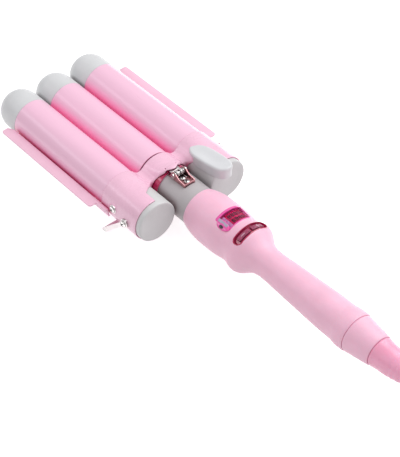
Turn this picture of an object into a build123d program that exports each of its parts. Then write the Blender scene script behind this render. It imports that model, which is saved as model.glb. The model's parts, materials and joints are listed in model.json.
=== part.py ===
"""Three-barrel hair waver: two outer barrels on a sprung yoke clamp over a fixed middle barrel.

Millimetres. +X runs to the barrel tips, +Y to the left, +Z up. Shapes are laid out about the
middle barrel's axis with X = 0 at the outer barrels' rear faces, and every node is moved at the
end so that the origin is the centre of the object's underside.
"""
import math
import os

from build123d import *

# ---- driving dimensions -------------------------------------------------------------------
R = 16.0                  # barrel radius: 32 mm barrels
PITCH = 32.4              # sideways distance between barrel axes
RISE = 1.4                # the outer barrels' axes lie this far above the middle one
BARREL_WALL = 1.2
BORE = R - BARREL_WALL
OUTER_START = 42.0        # where the outer barrels leave their sleeves
MIDDLE_START = 22.0       # where the middle barrel leaves the neck
BARREL_END = 147.4        # pink barrel meets its tip cap
TIP_STRAIGHT = 12.9       # straight part of a tip cap
DOME = 15.2               # length of a tip cap's dome
CAP_R = 16.0              # rear caps of the outer barrels
SLEEVE_R = 16.9
SLEEVE_REAR = 4.2
SIDE_GAP = 16.35          # yoke stays this far from the middle plane beside the neck
ARCH_BORE = 16.4
ARCH_FRONT = 41.2
SADDLE_FRONT_R = 17.3
VALLEY_R = 5.0            # round valley between the saddle and a sleeve
NECK_R = 15.0
SPIGOT_R = 13.4           # neck spigot held in the handle
HANDLE_FRONT = -8.0
HANDLE_STEP = -146.4        # end of the smooth grip, where the flared band begins
HANDLE_END = -161.4
WALL = 2.2                # handle wall
COLLAR_END = -181.6
COLLAR_PLUG = 10.0          # collar's plug in the handle, length
COLLAR_LEDGE = -167.4       # front of the collar's turning chamber
CHAMBER_R = 10.9
CHAMBER_END = -176.2
MOUTH_R = 9.6               # collar's rear opening
BOOT_FRONT = -170.8         # front face of the swivel boot
BOOT_FLANGE_R = 10.3
BOOT_NECK_R = 8.6
BOOT_END = -215.5
CORD_R = 3.6                # cord's bore through the boot
BUSH = (-175.9, -173.0)     # ring behind the boot's flange, along X
BRUSH_FACE = -168.6
PIN_X = 15.2              # clamp hinge pin
PIN_Z = 17.9
PIN_R = 1.25
WING_IN = 18.0            # trough plates, radii about an outer barrel's axis
WING_OUT = 19.2
WING_REAR = 32.0
TROUGH_REAR = 56.0
FLANGE_REAR = 42.8
FLANGE_END = 149.8
FLANGE_EDGE = 58.8
STRIP_EDGE = 53.0
FLANGE_TOP = 2.3
FLANGE_BASE = 1.1
LEVER_TOP = 20.0          # above the outer barrels' axes
LEVER_BASE = 10.4
LEVER_PAD = 3.4
LEVER_SKIRT_END = 20.8
PIVOT_X = 14.4            # stand pivot screws, level with the outer barrels' axes
SIDE_SCREW_X = 28.0
SIDE_SCREW_Z = 3.2        # above the outer barrels' axes
BOSS_R = 3.7
BOSS_FACE = 49.4
BAIL_IN = 50.0            # inner face of a stand leg
STRIP = 1.2               # stand strip thickness
STRIP_WIDTH = 3.4
BAR_X = 38.6              # stand crossbar
BAR_TOP = -21.8
WINDOW = (-49.0, -35.0)   # display opening along X
WINDOW_SIDES = (-38.5, 34.5)   # degrees from the top, positive towards +Y
SLOT = (-63.2, -55.5)     # button recess along X
SLOT_HALF = 48.5
WINDOW_CORNER = 1.6
LAMP_R = 0.9
CORNER_REACH = 19.2       # radius at which the corners of handle openings are rounded
BOARD_TOP = 7.1
FAR = 400.0

# Handle outline: distance along X and radius, front to rear.
HANDLE = [
    (HANDLE_FRONT, 15.9), (-11.5, 16.9), (-16.0, 17.9), (-24.8, 18.7), (-33.6, 18.75),
    (-42.0, 18.3), (-50.0, 17.5), (-54.5, 18.3), (-58.8, 19.3), (-62.5, 18.5), (-67.2, 15.4),
    (-73.0, 12.1), (-78.5, 11.1), (-84.8, 11.05), (-91.5, 11.4), (-104.0, 12.05),
    (-117.0, 12.65), (-130.0, 13.3), (HANDLE_STEP, 13.65),
]


# ---- shape helpers ------------------------------------------------------------------------
def rod(radius, start, end, y=0.0, z=0.0):
    """Solid cylinder along X."""
    return Pos((start + end) / 2, y, z) * Rot(0, 90, 0) * Cylinder(radius, abs(end - start))


def tube(outer, inner, start, end, y=0.0, z=0.0):
    return rod(outer, start, end, y, z) - rod(inner, start - 1, end + 1, y, z)


def cross_rod(radius, start, end, x, z):
    """Solid cylinder along Y."""
    return Pos(x, (start + end) / 2, z) * Rot(90, 0, 0) * Cylinder(radius, abs(end - start))


def post(radius, bottom, top, x, y):
    """Solid cylinder along Z."""
    return Pos(x, y, (bottom + top) / 2) * Cylinder(radius, abs(top - bottom))


def block(x0, x1, y0, y1, z0, z1):
    centre = Pos((x0 + x1) / 2, (y0 + y1) / 2, (z0 + z1) / 2)
    return centre * Box(abs(x1 - x0), abs(y1 - y0), abs(z1 - z0))


def turned(points, y=0.0):
    """Solid turned about X from (x, radius) corners; the first and last close on the axis."""
    line = Polyline(*[(x, r) for x, r in points], close=True)
    return Pos(0, y, 0) * revolve(Plane.XZ * make_face(line), axis=Axis.X)


def spline_turned(points):
    """Solid turned about X under a smooth outline."""
    first, last = points[0], points[-1]
    outline = Curve() + [
        Spline(*points),
        Line(last, (last[0], 0)),
        Line((last[0], 0), (first[0], 0)),
        Line((first[0], 0), first),
    ]
    return revolve(Plane.XZ * make_face(outline), axis=Axis.X)


def wedge(x0, x1, low, high, reach=40.0):
    """Prism between two angles, in degrees from the top, positive towards +Y."""
    steps = 6
    rim = []
    for i in range(steps + 1):
        angle = math.radians(low + (high - low) * i / steps)
        rim.append((reach * math.sin(angle), reach * math.cos(angle)))
    sector = make_face(Polyline((0, 0), *rim, close=True))
    face = Plane((x0, 0, 0), x_dir=(0, 1, 0), z_dir=(1, 0, 0)) * sector
    return extrude(face, amount=x1 - x0)


def radial(solid, angle):
    """Turn a shape laid out at the top round the X axis, positive towards +Y."""
    return Rot(-angle, 0, 0) * solid


def group(solids):
    return Compound([s for item in solids for s in item.solids()])


def lifted(shape):
    """Shape laid out about an outer barrel's axis, moved up to that axis."""
    return Pos(0, 0, RISE) * shape


# ---- barrels ------------------------------------------------------------------------------
def barrel(start, y):
    return tube(R, BORE, start, BARREL_END, y)


def tip_cap(y):
    """Moulded cap: a plug in the barrel, a straight band and a full dome."""
    straight_end = BARREL_END + TIP_STRAIGHT
    dome = Curve() + [
        Line((BARREL_END, 0), (BARREL_END, R)),
        Line((BARREL_END, R), (straight_end, R)),
        EllipticalCenterArc((straight_end, 0), DOME, R, start_angle=0, arc_size=90),
        Line((straight_end + DOME, 0), (BARREL_END, 0)),
    ]
    cap = Pos(0, y, 0) * revolve(Plane.XZ * make_face(dome), axis=Axis.X)
    cap += rod(BORE, BARREL_END - 8, BARREL_END, y)
    return cap - rod(BORE - 2, BARREL_END - 9, straight_end - 2, y)


def heat_spreaders(y):
    """Two half-round aluminium bars pressed out against the barrel's bore."""
    pair = rod(BORE, 62, 132, y)
    pair -= block(60, 134, y - 20, y + 20, -1.5, 1.5)
    return group([pair])


def ceramic_plate(y):
    return block(66, 128, y - 8, y + 8, -1.5, 1.5)


# ---- handle -------------------------------------------------------------------------------
def handle_outer():
    grip_end = HANDLE[-1][1]
    band = [
        (HANDLE_STEP, 0), (HANDLE_STEP, grip_end), (-149.8, 13.75), (-152.6, 14.35), (-155.6, 14.6),
        (HANDLE_END + 1.2, 14.5), (HANDLE_END, 14.0), (HANDLE_END, 0),
    ]
    return spline_turned(HANDLE) + turned(band)


def handle_inner():
    inside = [(x, r - WALL) for x, r in HANDLE[3:]]
    cavity = spline_turned(inside) + rod(HANDLE[-1][1] - WALL, HANDLE_STEP + 1, HANDLE_END - 1)
    return cavity + rod(SPIGOT_R, HANDLE_FRONT + 1, -26.0)


COVER_LOW = 130.0         # underside cover, degrees from the top on each side
COVER_RANGE = (-142.0, -14.0)
POSTS = (-29.0, -84.0, -138.0)


def cover_region(gap):
    trim = math.degrees(gap / 14.0)
    return wedge(COVER_RANGE[0] + gap, COVER_RANGE[1] - gap, COVER_LOW + trim, 360 - COVER_LOW - trim)


def radius_at(x):
    """Handle radius between the outline's points, near enough for seats and heads."""
    for (xa, ra), (xb, rb) in zip(HANDLE, HANDLE[1:]):
        if xb <= x <= xa:
            return ra + (rb - ra) * (x - xa) / (xb - xa)
    return HANDLE[-1][1]


def cover_screw(x):
    seat = -radius_at(x) + 1.0
    head = post(2.1, seat, seat + 1.4, x, 0)
    slot = block(x - 2.6, x + 2.6, -0.35, 0.35, seat - 1, seat + 0.6)
    slot += block(x - 0.35, x + 0.35, -2.6, 2.6, seat - 1, seat + 0.6)
    return head + post(1.1, seat + 1.4, seat + 9, x, 0) - slot


def screw_space(x):
    seat = -radius_at(x) + 1.0
    return post(2.1, -FAR, seat + 1.4, x, 0) + post(1.1, seat, seat + 9, x, 0)


def rounded_band(x0, x1, low, high, corner):
    """Band round the handle between two angles, its corners rounded at the surface."""
    turn = math.degrees(corner / CORNER_REACH)
    band = wedge(x0, x1, low + turn, high - turn)
    if x1 - x0 > 2 * corner:
        band += wedge(x0 + corner, x1 - corner, low, high)
    for x in {x0 + corner, x1 - corner}:
        for angle in (low + turn, high - turn):
            band += radial(post(corner, 0, 40, x, 0), angle)
    return band


def window_space():
    return rounded_band(*WINDOW, *WINDOW_SIDES, WINDOW_CORNER)


def slot_space(inset, half):
    """Button recess: a band round the top of the handle with round ends."""
    x0, x1 = SLOT[0] + inset, SLOT[1] - inset
    return rounded_band(x0, x1, -half, half, (x1 - x0) / 2)


def handle_parts():
    outer = handle_outer()
    wall = outer - handle_inner()
    shell = wall - cover_region(0.0)
    cover = wall & cover_region(0.12)
    for x in POSTS:
        joint = -radius_at(x) + 4.4
        shell += post(3.0, joint, 40, x, 0) & outer
        cover += post(3.0, -40, joint, x, 0) & outer
    for x in POSTS:
        shell -= screw_space(x)
        cover -= screw_space(x)
    shell -= window_space()
    shell -= slot_space(0.0, SLOT_HALF)
    return shell, cover


def rear_collar():
    """Collar at the handle's end; the swivel boot turns inside it."""
    skin = [
        (HANDLE_END, 0), (HANDLE_END, 13.2), (HANDLE_END - 1.0, 13.8), (-168.0, 13.1),
        (-175.0, 12.25), (COLLAR_END + 0.8, 11.4), (COLLAR_END, 11.1), (COLLAR_END, 0),
    ]
    collar = turned(skin) + rod(HANDLE[-1][1] - WALL, HANDLE_END, HANDLE_END + COLLAR_PLUG)
    collar -= rod(9.0, COLLAR_LEDGE, HANDLE_END + COLLAR_PLUG + 1)
    collar -= rod(CHAMBER_R, CHAMBER_END, COLLAR_LEDGE)
    return collar - rod(MOUTH_R, COLLAR_END - 1, CHAMBER_END)


def bush():
    """Ring that holds the boot's flange in the collar."""
    return tube(CHAMBER_R, BOOT_NECK_R + 0.05, BUSH[0], BUSH[1])


def brush_block():
    body = rod(CHAMBER_R, BRUSH_FACE, COLLAR_LEDGE)
    for y in (-4.8, 4.8):
        body += rod(0.9, BOOT_FRONT + 0.9, BRUSH_FACE, y, 0)
    return body


def swivel_boot():
    """Soft tapered boot with a flange at the front and the cord's bore through it."""
    flange_end = BOOT_FRONT - 2.0
    neck_end = BUSH[0] - 0.2
    shoulder = COLLAR_END - 0.4
    outline = Curve() + [
        Polyline(
            (BOOT_FRONT, 0), (BOOT_FRONT, BOOT_FLANGE_R), (flange_end, BOOT_FLANGE_R),
            (flange_end, BOOT_NECK_R), (neck_end, BOOT_NECK_R), (neck_end, MOUTH_R - 0.35),
            (shoulder, MOUTH_R - 0.35), (shoulder, 10.5), (shoulder - 0.4, 10.9),
        ),
        Spline(
            (shoulder - 0.4, 10.9), (-187.0, 10.2), (-193.5, 9.85), (-201.0, 8.9), (-208.5, 7.3),
            (-214.6, 6.1),
        ),
        Polyline((-214.6, 6.1), (BOOT_END, 5.4), (BOOT_END, 0), (BOOT_FRONT, 0)),
    ]
    return revolve(Plane.XZ * make_face(outline), axis=Axis.X) - rod(CORD_R, BOOT_END - 1, BOOT_FRONT + 1)


def slip_ring():
    """Contact ring on the boot's front face that the brushes run on."""
    return tube(5.9, 4.0, BOOT_FRONT, BOOT_FRONT + 0.7)


# ---- display and buttons ------------------------------------------------------------------
def window_well():
    """Opening inside the bezel, set back further at the left end, where the lamp is."""
    return wedge(WINDOW[0] + 1.0, WINDOW[1] - 1.6, WINDOW_SIDES[0] + 3, WINDOW_SIDES[1] - 9)


def lamp(radius, bottom):
    """Round shape through the bezel's left end."""
    return radial(post(radius, bottom, 40, (WINDOW[0] + WINDOW[1]) / 2, 0), WINDOW_SIDES[1] - 4.5)


def display_bezel():
    floor = block(WINDOW[0] - 1, WINDOW[1] + 1, -20, 20, -20, BOARD_TOP + 4.4)
    return (handle_outer() & window_space()) - window_well() - floor - lamp(LAMP_R, 14.0)


def power_lamp():
    """Small tinted light guide in the bezel's left end."""
    return lamp(LAMP_R, 14.0) & rod(17.4, *WINDOW)


def display_window():
    """Clear lens, a curved sheet just under the bezel's rim."""
    sheet = rod(17.6, WINDOW[0], WINDOW[1]) - rod(16.4, WINDOW[0] - 1, WINDOW[1] + 1)
    return sheet & window_well()


def lcd_module():
    return block(WINDOW[0] + 1, WINDOW[1] - 1, -9.0, 9.0, BOARD_TOP, BOARD_TOP + 4.4)


def button_space(side, inset):
    """Hole in the panel for one button; inset shrinks it to the button itself."""
    trim = math.degrees(inset / 17.0)
    band = wedge(SLOT[0] + 1.9 + inset, SLOT[1] - 1.9 - inset, 2.0 + trim, 38.0 - trim)
    return band if side > 0 else mirror(band, about=Plane.XZ)


def button_panel():
    tray = (handle_outer() & slot_space(0.0, SLOT_HALF)) - rod(14.4, SLOT[0] - 1, SLOT[1] + 1)
    tray -= slot_space(0.7, SLOT_HALF - 2) - rod(17.0, SLOT[0] - 1, SLOT[1] + 1)
    for side in (-1, 1):
        tray -= button_space(side, 0.0)
    return tray


def button(side):
    body = rod(18.2, SLOT[0], SLOT[1]) - rod(14.6, SLOT[0] - 1, SLOT[1] + 1)
    return body & button_space(side, 0.3)


def tact_switches():
    middle = (SLOT[0] + SLOT[1]) / 2
    solids = []
    for y in (-5.0, 5.0):
        body = block(middle - 3, middle + 3, y - 3, y + 3, BOARD_TOP, BOARD_TOP + 2.9)
        solids.append(body + post(1.2, BOARD_TOP + 2.9, 12.3, middle, y))
    return group(solids)


def control_board():
    return block(-69, -33, -8.5, 8.5, BOARD_TOP - 1.6, BOARD_TOP)


def wires(start, end):
    return group([rod(0.8, start, end, y, BOARD_TOP - 0.8) for y in (-4.6, 4.6)])


# ---- neck and hinge -----------------------------------------------------------------------
def bracket_screw_space():
    return post(0.95, 11.0, 15.2, 6.6, 0) + post(0.95, 11.0, 15.2, 11.0, 0)


def bracket_screw(x):
    head = post(1.7, 15.2, 16.2, x, 0) - block(x - 2, x + 2, -0.3, 0.3, 15.7, 17)
    return head + post(0.95, 11.6, 15.2, x, 0)


def neck_tube():
    neck = rod(NECK_R, HANDLE_FRONT, MIDDLE_START)
    neck += rod(BORE, MIDDLE_START, 34.0)
    neck += rod(SPIGOT_R, -20.0, HANDLE_FRONT)
    neck -= rod(SPIGOT_R - 2, -21.0, 35.0)
    neck -= block(3.0, 21.7, -5.3, 5.3, 14.2, 20)
    return neck - bracket_screw_space()


def hinge_bracket():
    """Channel of folded sheet: low sides at the rear, two ears for the pin at the front."""
    side = Polyline(
        (3.4, 14.2), (3.4, 16.8), (9.6, 17.6), (12.8, 20.2), (16.9, 20.2), (17.9, 18.2), (20.0, 14.2),
        close=True,
    )
    side_plate = extrude(Plane.XZ * make_face(side), amount=0.8)
    bracket = block(3.4, 21.4, -5.0, 5.0, 14.2, 15.2) + block(3.4, 4.2, -5.0, 5.0, 14.2, 16.8)
    bracket += Pos(0, 5.0, 0) * side_plate
    bracket += Pos(0, -4.2, 0) * side_plate
    bracket -= cross_rod(PIN_R, -6, 6, PIN_X, PIN_Z)
    return bracket - bracket_screw_space()


def hinge_pin():
    pin = cross_rod(PIN_R, -6.0, 6.0, PIN_X, PIN_Z)
    pin += cross_rod(1.9, 5.0, 6.0, PIN_X, PIN_Z)
    return pin + cross_rod(1.9, -6.0, -5.0, PIN_X, PIN_Z)


def leaf_screw(y):
    return post(0.8, 17.2, 18.8, 21.4, y) + post(1.3, 16.5, 17.2, 21.4, y)


def hinge_leaf():
    """Clamp half of the hinge: a plate under the arch with two ears on the pin."""
    leaf = block(18.6, 23.6, -4.0, 4.0, 17.2, 18.0)
    for y in (3.2, -4.0):
        ear = cross_rod(2.1, y, y + 0.8, PIN_X, PIN_Z) + block(PIN_X, 19.6, y, y + 0.8, 16.4, 18.0)
        leaf += ear - cross_rod(PIN_R + 0.05, y - 1, y + 2, PIN_X, PIN_Z)
    for y in (-2.0, 2.0):
        leaf -= post(0.8, 16, 19, 21.4, y)
    return leaf


def clamp_spring():
    """Envelope of the two coils of the torsion spring on the pin."""
    coils = []
    for y in (-3.0, 0.4):
        coil = cross_rod(2.4, y, y + 2.6, PIN_X, PIN_Z)
        coils.append(coil - cross_rod(1.5, y - 1, y + 4, PIN_X, PIN_Z))
    return group(coils)


# ---- trough plates ------------------------------------------------------------------------
WING_SCREWS = (64.0, 100.0, 138.0)
WING_SCREW_ANGLE = 140.0


def front_corner():
    """Slanting cut that draws the lip back from the tip cap at the flange's front end."""
    corner = make_face(Polyline((140, 48), (152, 48), (152, 54), close=True))
    return Pos(0, 0, -1) * extrude(corner, amount=5)


def wing_plate():
    """Left trough plate: half-round trough under the outer barrel with a flat side flange."""
    ring = tube(WING_OUT, WING_IN, TROUGH_REAR, BARREL_END, PITCH, RISE)
    ring -= block(0, 200, 0, PITCH, -5.0, 30)
    rim = tube(WING_OUT, WING_IN, WING_REAR, TROUGH_REAR + 1, PITCH, RISE)
    rim -= block(0, 200, 0, PITCH + 12, -40, 40)
    rim -= block(0, 200, 0, 80, -40, -5.0)
    ring += rim
    ring -= block(0, 200, 0, 80, FLANGE_TOP, 30)
    flange = block(FLANGE_REAR, FLANGE_END, PITCH + 16.2, FLANGE_EDGE, FLANGE_BASE, FLANGE_TOP)
    corners = [e for e in flange.edges().filter_by(Axis.Z) if e.center().Y > FLANGE_EDGE - 1]
    flange = fillet(corners, 2.2)
    flange += block(WING_REAR, FLANGE_REAR + 1, PITCH + 16.2, STRIP_EDGE, FLANGE_BASE, FLANGE_TOP)
    flange -= rod(WING_IN, 0, 200, PITCH, RISE)
    ring += flange
    ring -= front_corner()
    ring += tube(R + 1.2, R, TROUGH_REAR, BARREL_END) & wedge(TROUGH_REAR, BARREL_END, 104, 152)
    ring -= rod(R, 0, 200)
    for hole in wing_holes(1):
        ring -= hole
    return ring


def wing_holes(sign):
    return [radial(post(1.2, 13, 20, x, 0), sign * WING_SCREW_ANGLE) for x in WING_SCREWS]


def wing_screws():
    solids = []
    for x in WING_SCREWS:
        screw = post(2.1, R + 1.2, R + 2.0, x, 0) + post(1.2, BORE, R + 1.2, x, 0)
        screw -= block(x - 2.5, x + 2.5, -0.3, 0.3, R + 1.6, R + 3)
        solids += [radial(screw, sign * WING_SCREW_ANGLE) for sign in (-1, 1)]
    return group(solids)


def middle_barrel():
    body = barrel(MIDDLE_START, 0)
    for hole in wing_holes(1) + wing_holes(-1):
        body -= hole
    return body


# ---- clamp --------------------------------------------------------------------------------
def yoke_outline_cut():
    """Plan-view notch behind the arch that bares the rear caps' inner sides."""
    points = [
        (-5, 30.6), (14.4, 30.0), (19.0, 24.0), (22.4, 19.6), (24.9, 17.3), (24.6, 14.5), (23.3, 11.6),
        (21.8, 8.9), (20.1, 5.6), (18.2, 0),
    ]
    mirrored = [(x, -y) for x, y in reversed(points[:-1])]
    outline = make_face(Polyline(*points, *mirrored, close=True))
    return Pos(0, 0, -40) * extrude(outline, amount=80)


def lever_screw_space():
    return post(1.1, 10.4, 16.9, 24.0, -26.0) + post(1.1, 10.4, 16.9, 8.0, -26.0)


def side_holes(sign):
    """Bores through a sleeve's side for the pivot screw and the side screw."""
    holes = cross_rod(1.5, sign * 40, sign * 60, PIVOT_X, 0)
    return holes + cross_rod(1.5, sign * 40, sign * 60, SIDE_SCREW_X, SIDE_SCREW_Z)


def sleeve(sign):
    """Sleeve over an outer barrel's rear cap, with its two side bosses."""
    shape = rod(SLEEVE_R, SLEEVE_REAR, OUTER_START, sign * PITCH)
    shape += cross_rod(BOSS_R, sign * 44, sign * BOSS_FACE, PIVOT_X, 0)
    return shape + cross_rod(BOSS_R, sign * 44, sign * BOSS_FACE, SIDE_SCREW_X, SIDE_SCREW_Z)


def valley_centre():
    """Centre of the round valley that touches both the saddle and the left sleeve."""
    to_saddle = SADDLE_FRONT_R + VALLEY_R
    to_sleeve = SLEEVE_R + VALLEY_R
    apart = math.hypot(PITCH, RISE)
    lean = math.atan2(RISE, PITCH)
    along = (to_saddle ** 2 - to_sleeve ** 2 + apart ** 2) / (2 * apart)
    above = math.sqrt(to_saddle ** 2 - along ** 2)
    return (
        along * math.cos(lean) - above * math.sin(lean),
        along * math.sin(lean) + above * math.cos(lean),
    )


def yoke():
    """Two sleeves over the outer barrels' rear caps, joined by a saddle over the neck."""
    body = lifted(sleeve(1)) + lifted(sleeve(-1))
    body += turned([
        (10, 0), (10, 20.3), (18.4, 19.7), (28.0, 18.1), (ARCH_FRONT, SADDLE_FRONT_R), (ARCH_FRONT, 0),
    ])
    valley_y, valley_z = valley_centre()
    section = Plane((10, 0, 0), x_dir=(0, 1, 0), z_dir=(1, 0, 0))
    for sign in (-1, 1):
        corners = [(0, 0), (sign * PITCH, RISE), (sign * valley_y, valley_z)]
        body += extrude(section * make_face(Polyline(*corners, close=True)), amount=ARCH_FRONT - 10)
        body -= rod(VALLEY_R, 0, 60, sign * valley_y, valley_z)
    for sign in (-1, 1):
        body -= lifted(rod(CAP_R, -10, 60, sign * PITCH) + side_holes(sign))
    body -= block(-10, 60, -SIDE_GAP, SIDE_GAP, -40, 0)
    body -= rod(ARCH_BORE, -10, 60)
    body -= block(0, 23.8, -5.6, 5.6, 0, 18.0)
    body -= yoke_outline_cut()
    for y in (-2.0, 2.0):
        body -= post(0.8, 16, 18.8, 21.4, y)
    return body - lifted(lever_screw_space())


def rear_cap(sign):
    """Rear plug of an outer barrel with a rounded edge to its flat face."""
    y = sign * PITCH
    cap = rod(CAP_R, 0, OUTER_START, y)
    cap = fillet(cap.edges().sort_by(Axis.X)[0], 1.6)
    cap += rod(BORE, OUTER_START, 52.0, y)
    cap -= rod(BORE - 2.4, 2.4, 53.0, y)
    return cap - side_holes(sign) - lever_screw_space()


def recess(x, y, z, sign):
    """Cross recess in the end of a sideways screw."""
    deep = y - sign * 0.9
    cross = block(x - 1.5, x + 1.5, deep, y + sign, z - 0.3, z + 0.3)
    return cross + block(x - 0.3, x + 0.3, deep, y + sign, z - 1.5, z + 1.5)


def side_screw(sign):
    """Cross-recess screw and its washer face through a sleeve's side boss."""
    face = sign * BOSS_FACE
    screw = cross_rod(1.5, sign * 44.5, face, SIDE_SCREW_X, SIDE_SCREW_Z)
    screw += cross_rod(3.4, face, face + sign * 0.6, SIDE_SCREW_X, SIDE_SCREW_Z)
    screw += cross_rod(2.6, face + sign * 0.6, face + sign * 1.9, SIDE_SCREW_X, SIDE_SCREW_Z)
    return screw - recess(SIDE_SCREW_X, face + sign * 1.9, SIDE_SCREW_Z, sign)


def pivot_screw(sign):
    outer = sign * (BAIL_IN + STRIP + 0.15)
    screw = cross_rod(1.5, sign * 44.5, outer, PIVOT_X, 0)
    screw += cross_rod(2.6, outer, outer + sign * 1.5, PIVOT_X, 0)
    return screw - recess(PIVOT_X, outer + sign * 1.5, 0, sign)


def pivot_washer(sign):
    ring = cross_rod(3.4, sign * BOSS_FACE, sign * (BOSS_FACE + 0.45), PIVOT_X, 0)
    return ring - cross_rod(1.5, sign * 45, sign * 55, PIVOT_X, 0)


def thumb_lever(seat):
    """Teardrop thumb pad whose tip overhangs a deep skirt, seated on the right sleeve and cap."""
    outline = Spline(
        (28.4, -21.4), (26.0, -27.4), (19.8, -31.2), (9.0, -33.0), (-1.0, -33.2), (-6.6, -30.6),
        (-7.0, -25.0), (-3.4, -20.6), (4.0, -18.6), (12.0, -17.4), (20.0, -17.0), (25.6, -18.4),
        periodic=True,
    )
    pad = make_face(outline)
    body = Pos(0, 0, LEVER_TOP - LEVER_PAD) * extrude(pad, amount=LEVER_PAD)
    skirt = Pos(0, 0, LEVER_BASE) * extrude(pad, amount=LEVER_TOP - LEVER_PAD - LEVER_BASE)
    body += skirt - block(LEVER_SKIRT_END, 40, -40, 0, 0, 30)
    body -= Pos(9, -26, LEVER_TOP - 0.6 + 70) * Sphere(70)
    body -= rod(CAP_R, 0, OUTER_START, -PITCH)
    body -= rod(SLEEVE_R, SLEEVE_REAR, OUTER_START, -PITCH)
    return lifted(body) - rod(20.6, 10, ARCH_FRONT) - seat - lifted(lever_screw_space())


def lever_screws():
    return group([post(1.1, 10.4, 16.9, x, -26.0) for x in (8.0, 24.0)])


# ---- stand --------------------------------------------------------------------------------
def stand_bail():
    """U of flat strip: an eye and a leg each side, and a flat crossbar to rest on."""
    reach = (BAR_X - PIVOT_X, BAR_TOP - STRIP / 2 - RISE)
    length = math.hypot(*reach)
    slope = math.degrees(math.atan2(-reach[1], reach[0]))
    bar = (BAR_X - STRIP_WIDTH / 2, BAR_X + STRIP_WIDTH / 2)
    bail = block(*bar, -BAIL_IN, BAIL_IN, BAR_TOP - STRIP, BAR_TOP)
    for sign in (-1, 1):
        inner, outer = sign * BAIL_IN, sign * (BAIL_IN + STRIP)
        leg = block(0, length, inner, outer, -STRIP_WIDTH / 2, STRIP_WIDTH / 2)
        bail += Pos(PIVOT_X, 0, RISE) * Rot(0, slope, 0) * leg
        bail += cross_rod(3.4, inner, outer, PIVOT_X, RISE)
        bail += block(*bar, inner, outer, BAR_TOP - STRIP, BAR_TOP)
        bail -= cross_rod(1.56, sign * 45, sign * 55, PIVOT_X, RISE)
    return bail - block(0, 80, -80, 80, BAR_TOP - STRIP - 10, BAR_TOP - STRIP)


# ---- all nodes ----------------------------------------------------------------------------
def build():
    shell, cover = handle_parts()
    left_wing = wing_plate()
    saddle = yoke()
    nodes = {
        "handle_shell": shell,
        "handle_underside_cover": cover,
        "handle_cover_screws": group([cover_screw(x) for x in POSTS]),
        "rear_collar": rear_collar(),
        "swivel_bush": bush(),
        "brush_block": brush_block(),
        "supply_leads": wires(COLLAR_LEDGE, -69.0),
        "heater_leads": wires(-33.0, 62.0),
        "control_board": control_board(),
        "tact_switches": tact_switches(),
        "lcd_module": lcd_module(),
        "display_bezel": display_bezel(),
        "display_window": display_window(),
        "power_lamp": power_lamp(),
        "button_panel": button_panel(),
        "neck_tube": neck_tube(),
        "hinge_bracket": hinge_bracket(),
        "bracket_screws": group([bracket_screw(6.6), bracket_screw(11.0)]),
        "hinge_pin": hinge_pin(),
        "clamp_spring": clamp_spring(),
        "middle_barrel": middle_barrel(),
        "middle_tip_cap": tip_cap(0),
        "middle_heat_spreaders": heat_spreaders(0),
        "middle_ceramic_plate": ceramic_plate(0),
        "left_trough_plate": left_wing,
        "right_trough_plate": mirror(left_wing, about=Plane.XZ),
        "trough_screws": wing_screws(),
        "yoke": saddle,
        "hinge_leaf": hinge_leaf(),
        "leaf_screws": group([leaf_screw(-2.0), leaf_screw(2.0)]),
        "thumb_lever": thumb_lever(saddle),
        "lever_screws": lifted(lever_screws()),
        "side_screws": lifted(group([side_screw(1), side_screw(-1)])),
        "stand_pivot_screws": lifted(group([pivot_screw(1), pivot_screw(-1)])),
        "stand_washers": lifted(group([pivot_washer(1), pivot_washer(-1)])),
        "stand_bail": stand_bail(),
        "swivel_boot": swivel_boot(),
        "slip_ring": slip_ring(),
        "minus_button": button(1),
        "plus_button": button(-1),
    }
    for side, sign in (("left", 1), ("right", -1)):
        nodes[side + "_barrel"] = lifted(barrel(OUTER_START, sign * PITCH))
        nodes[side + "_tip_cap"] = lifted(tip_cap(sign * PITCH))
        nodes[side + "_rear_cap"] = lifted(rear_cap(sign))
        nodes[side + "_heat_spreaders"] = lifted(heat_spreaders(sign * PITCH))
        nodes[side + "_ceramic_plate"] = lifted(ceramic_plate(sign * PITCH))
    return nodes


def main():
    os.makedirs("parts", exist_ok=True)
    middle_x = (BARREL_END + TIP_STRAIGHT + DOME + BOOT_END) / 2
    to_origin = Pos(-middle_x, 0, STRIP - BAR_TOP)
    print("moved by", -middle_x, 0, STRIP - BAR_TOP)
    for name, shape in build().items():
        export_step(to_origin * shape, f"parts/{name}.step")


if __name__ == "__main__":
    main()
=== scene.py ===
"""Looks of the three-barrel hair waver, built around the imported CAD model."""
import json
import math

import bmesh
import bpy
import numpy as np
from mathutils import Matrix, Vector

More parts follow.
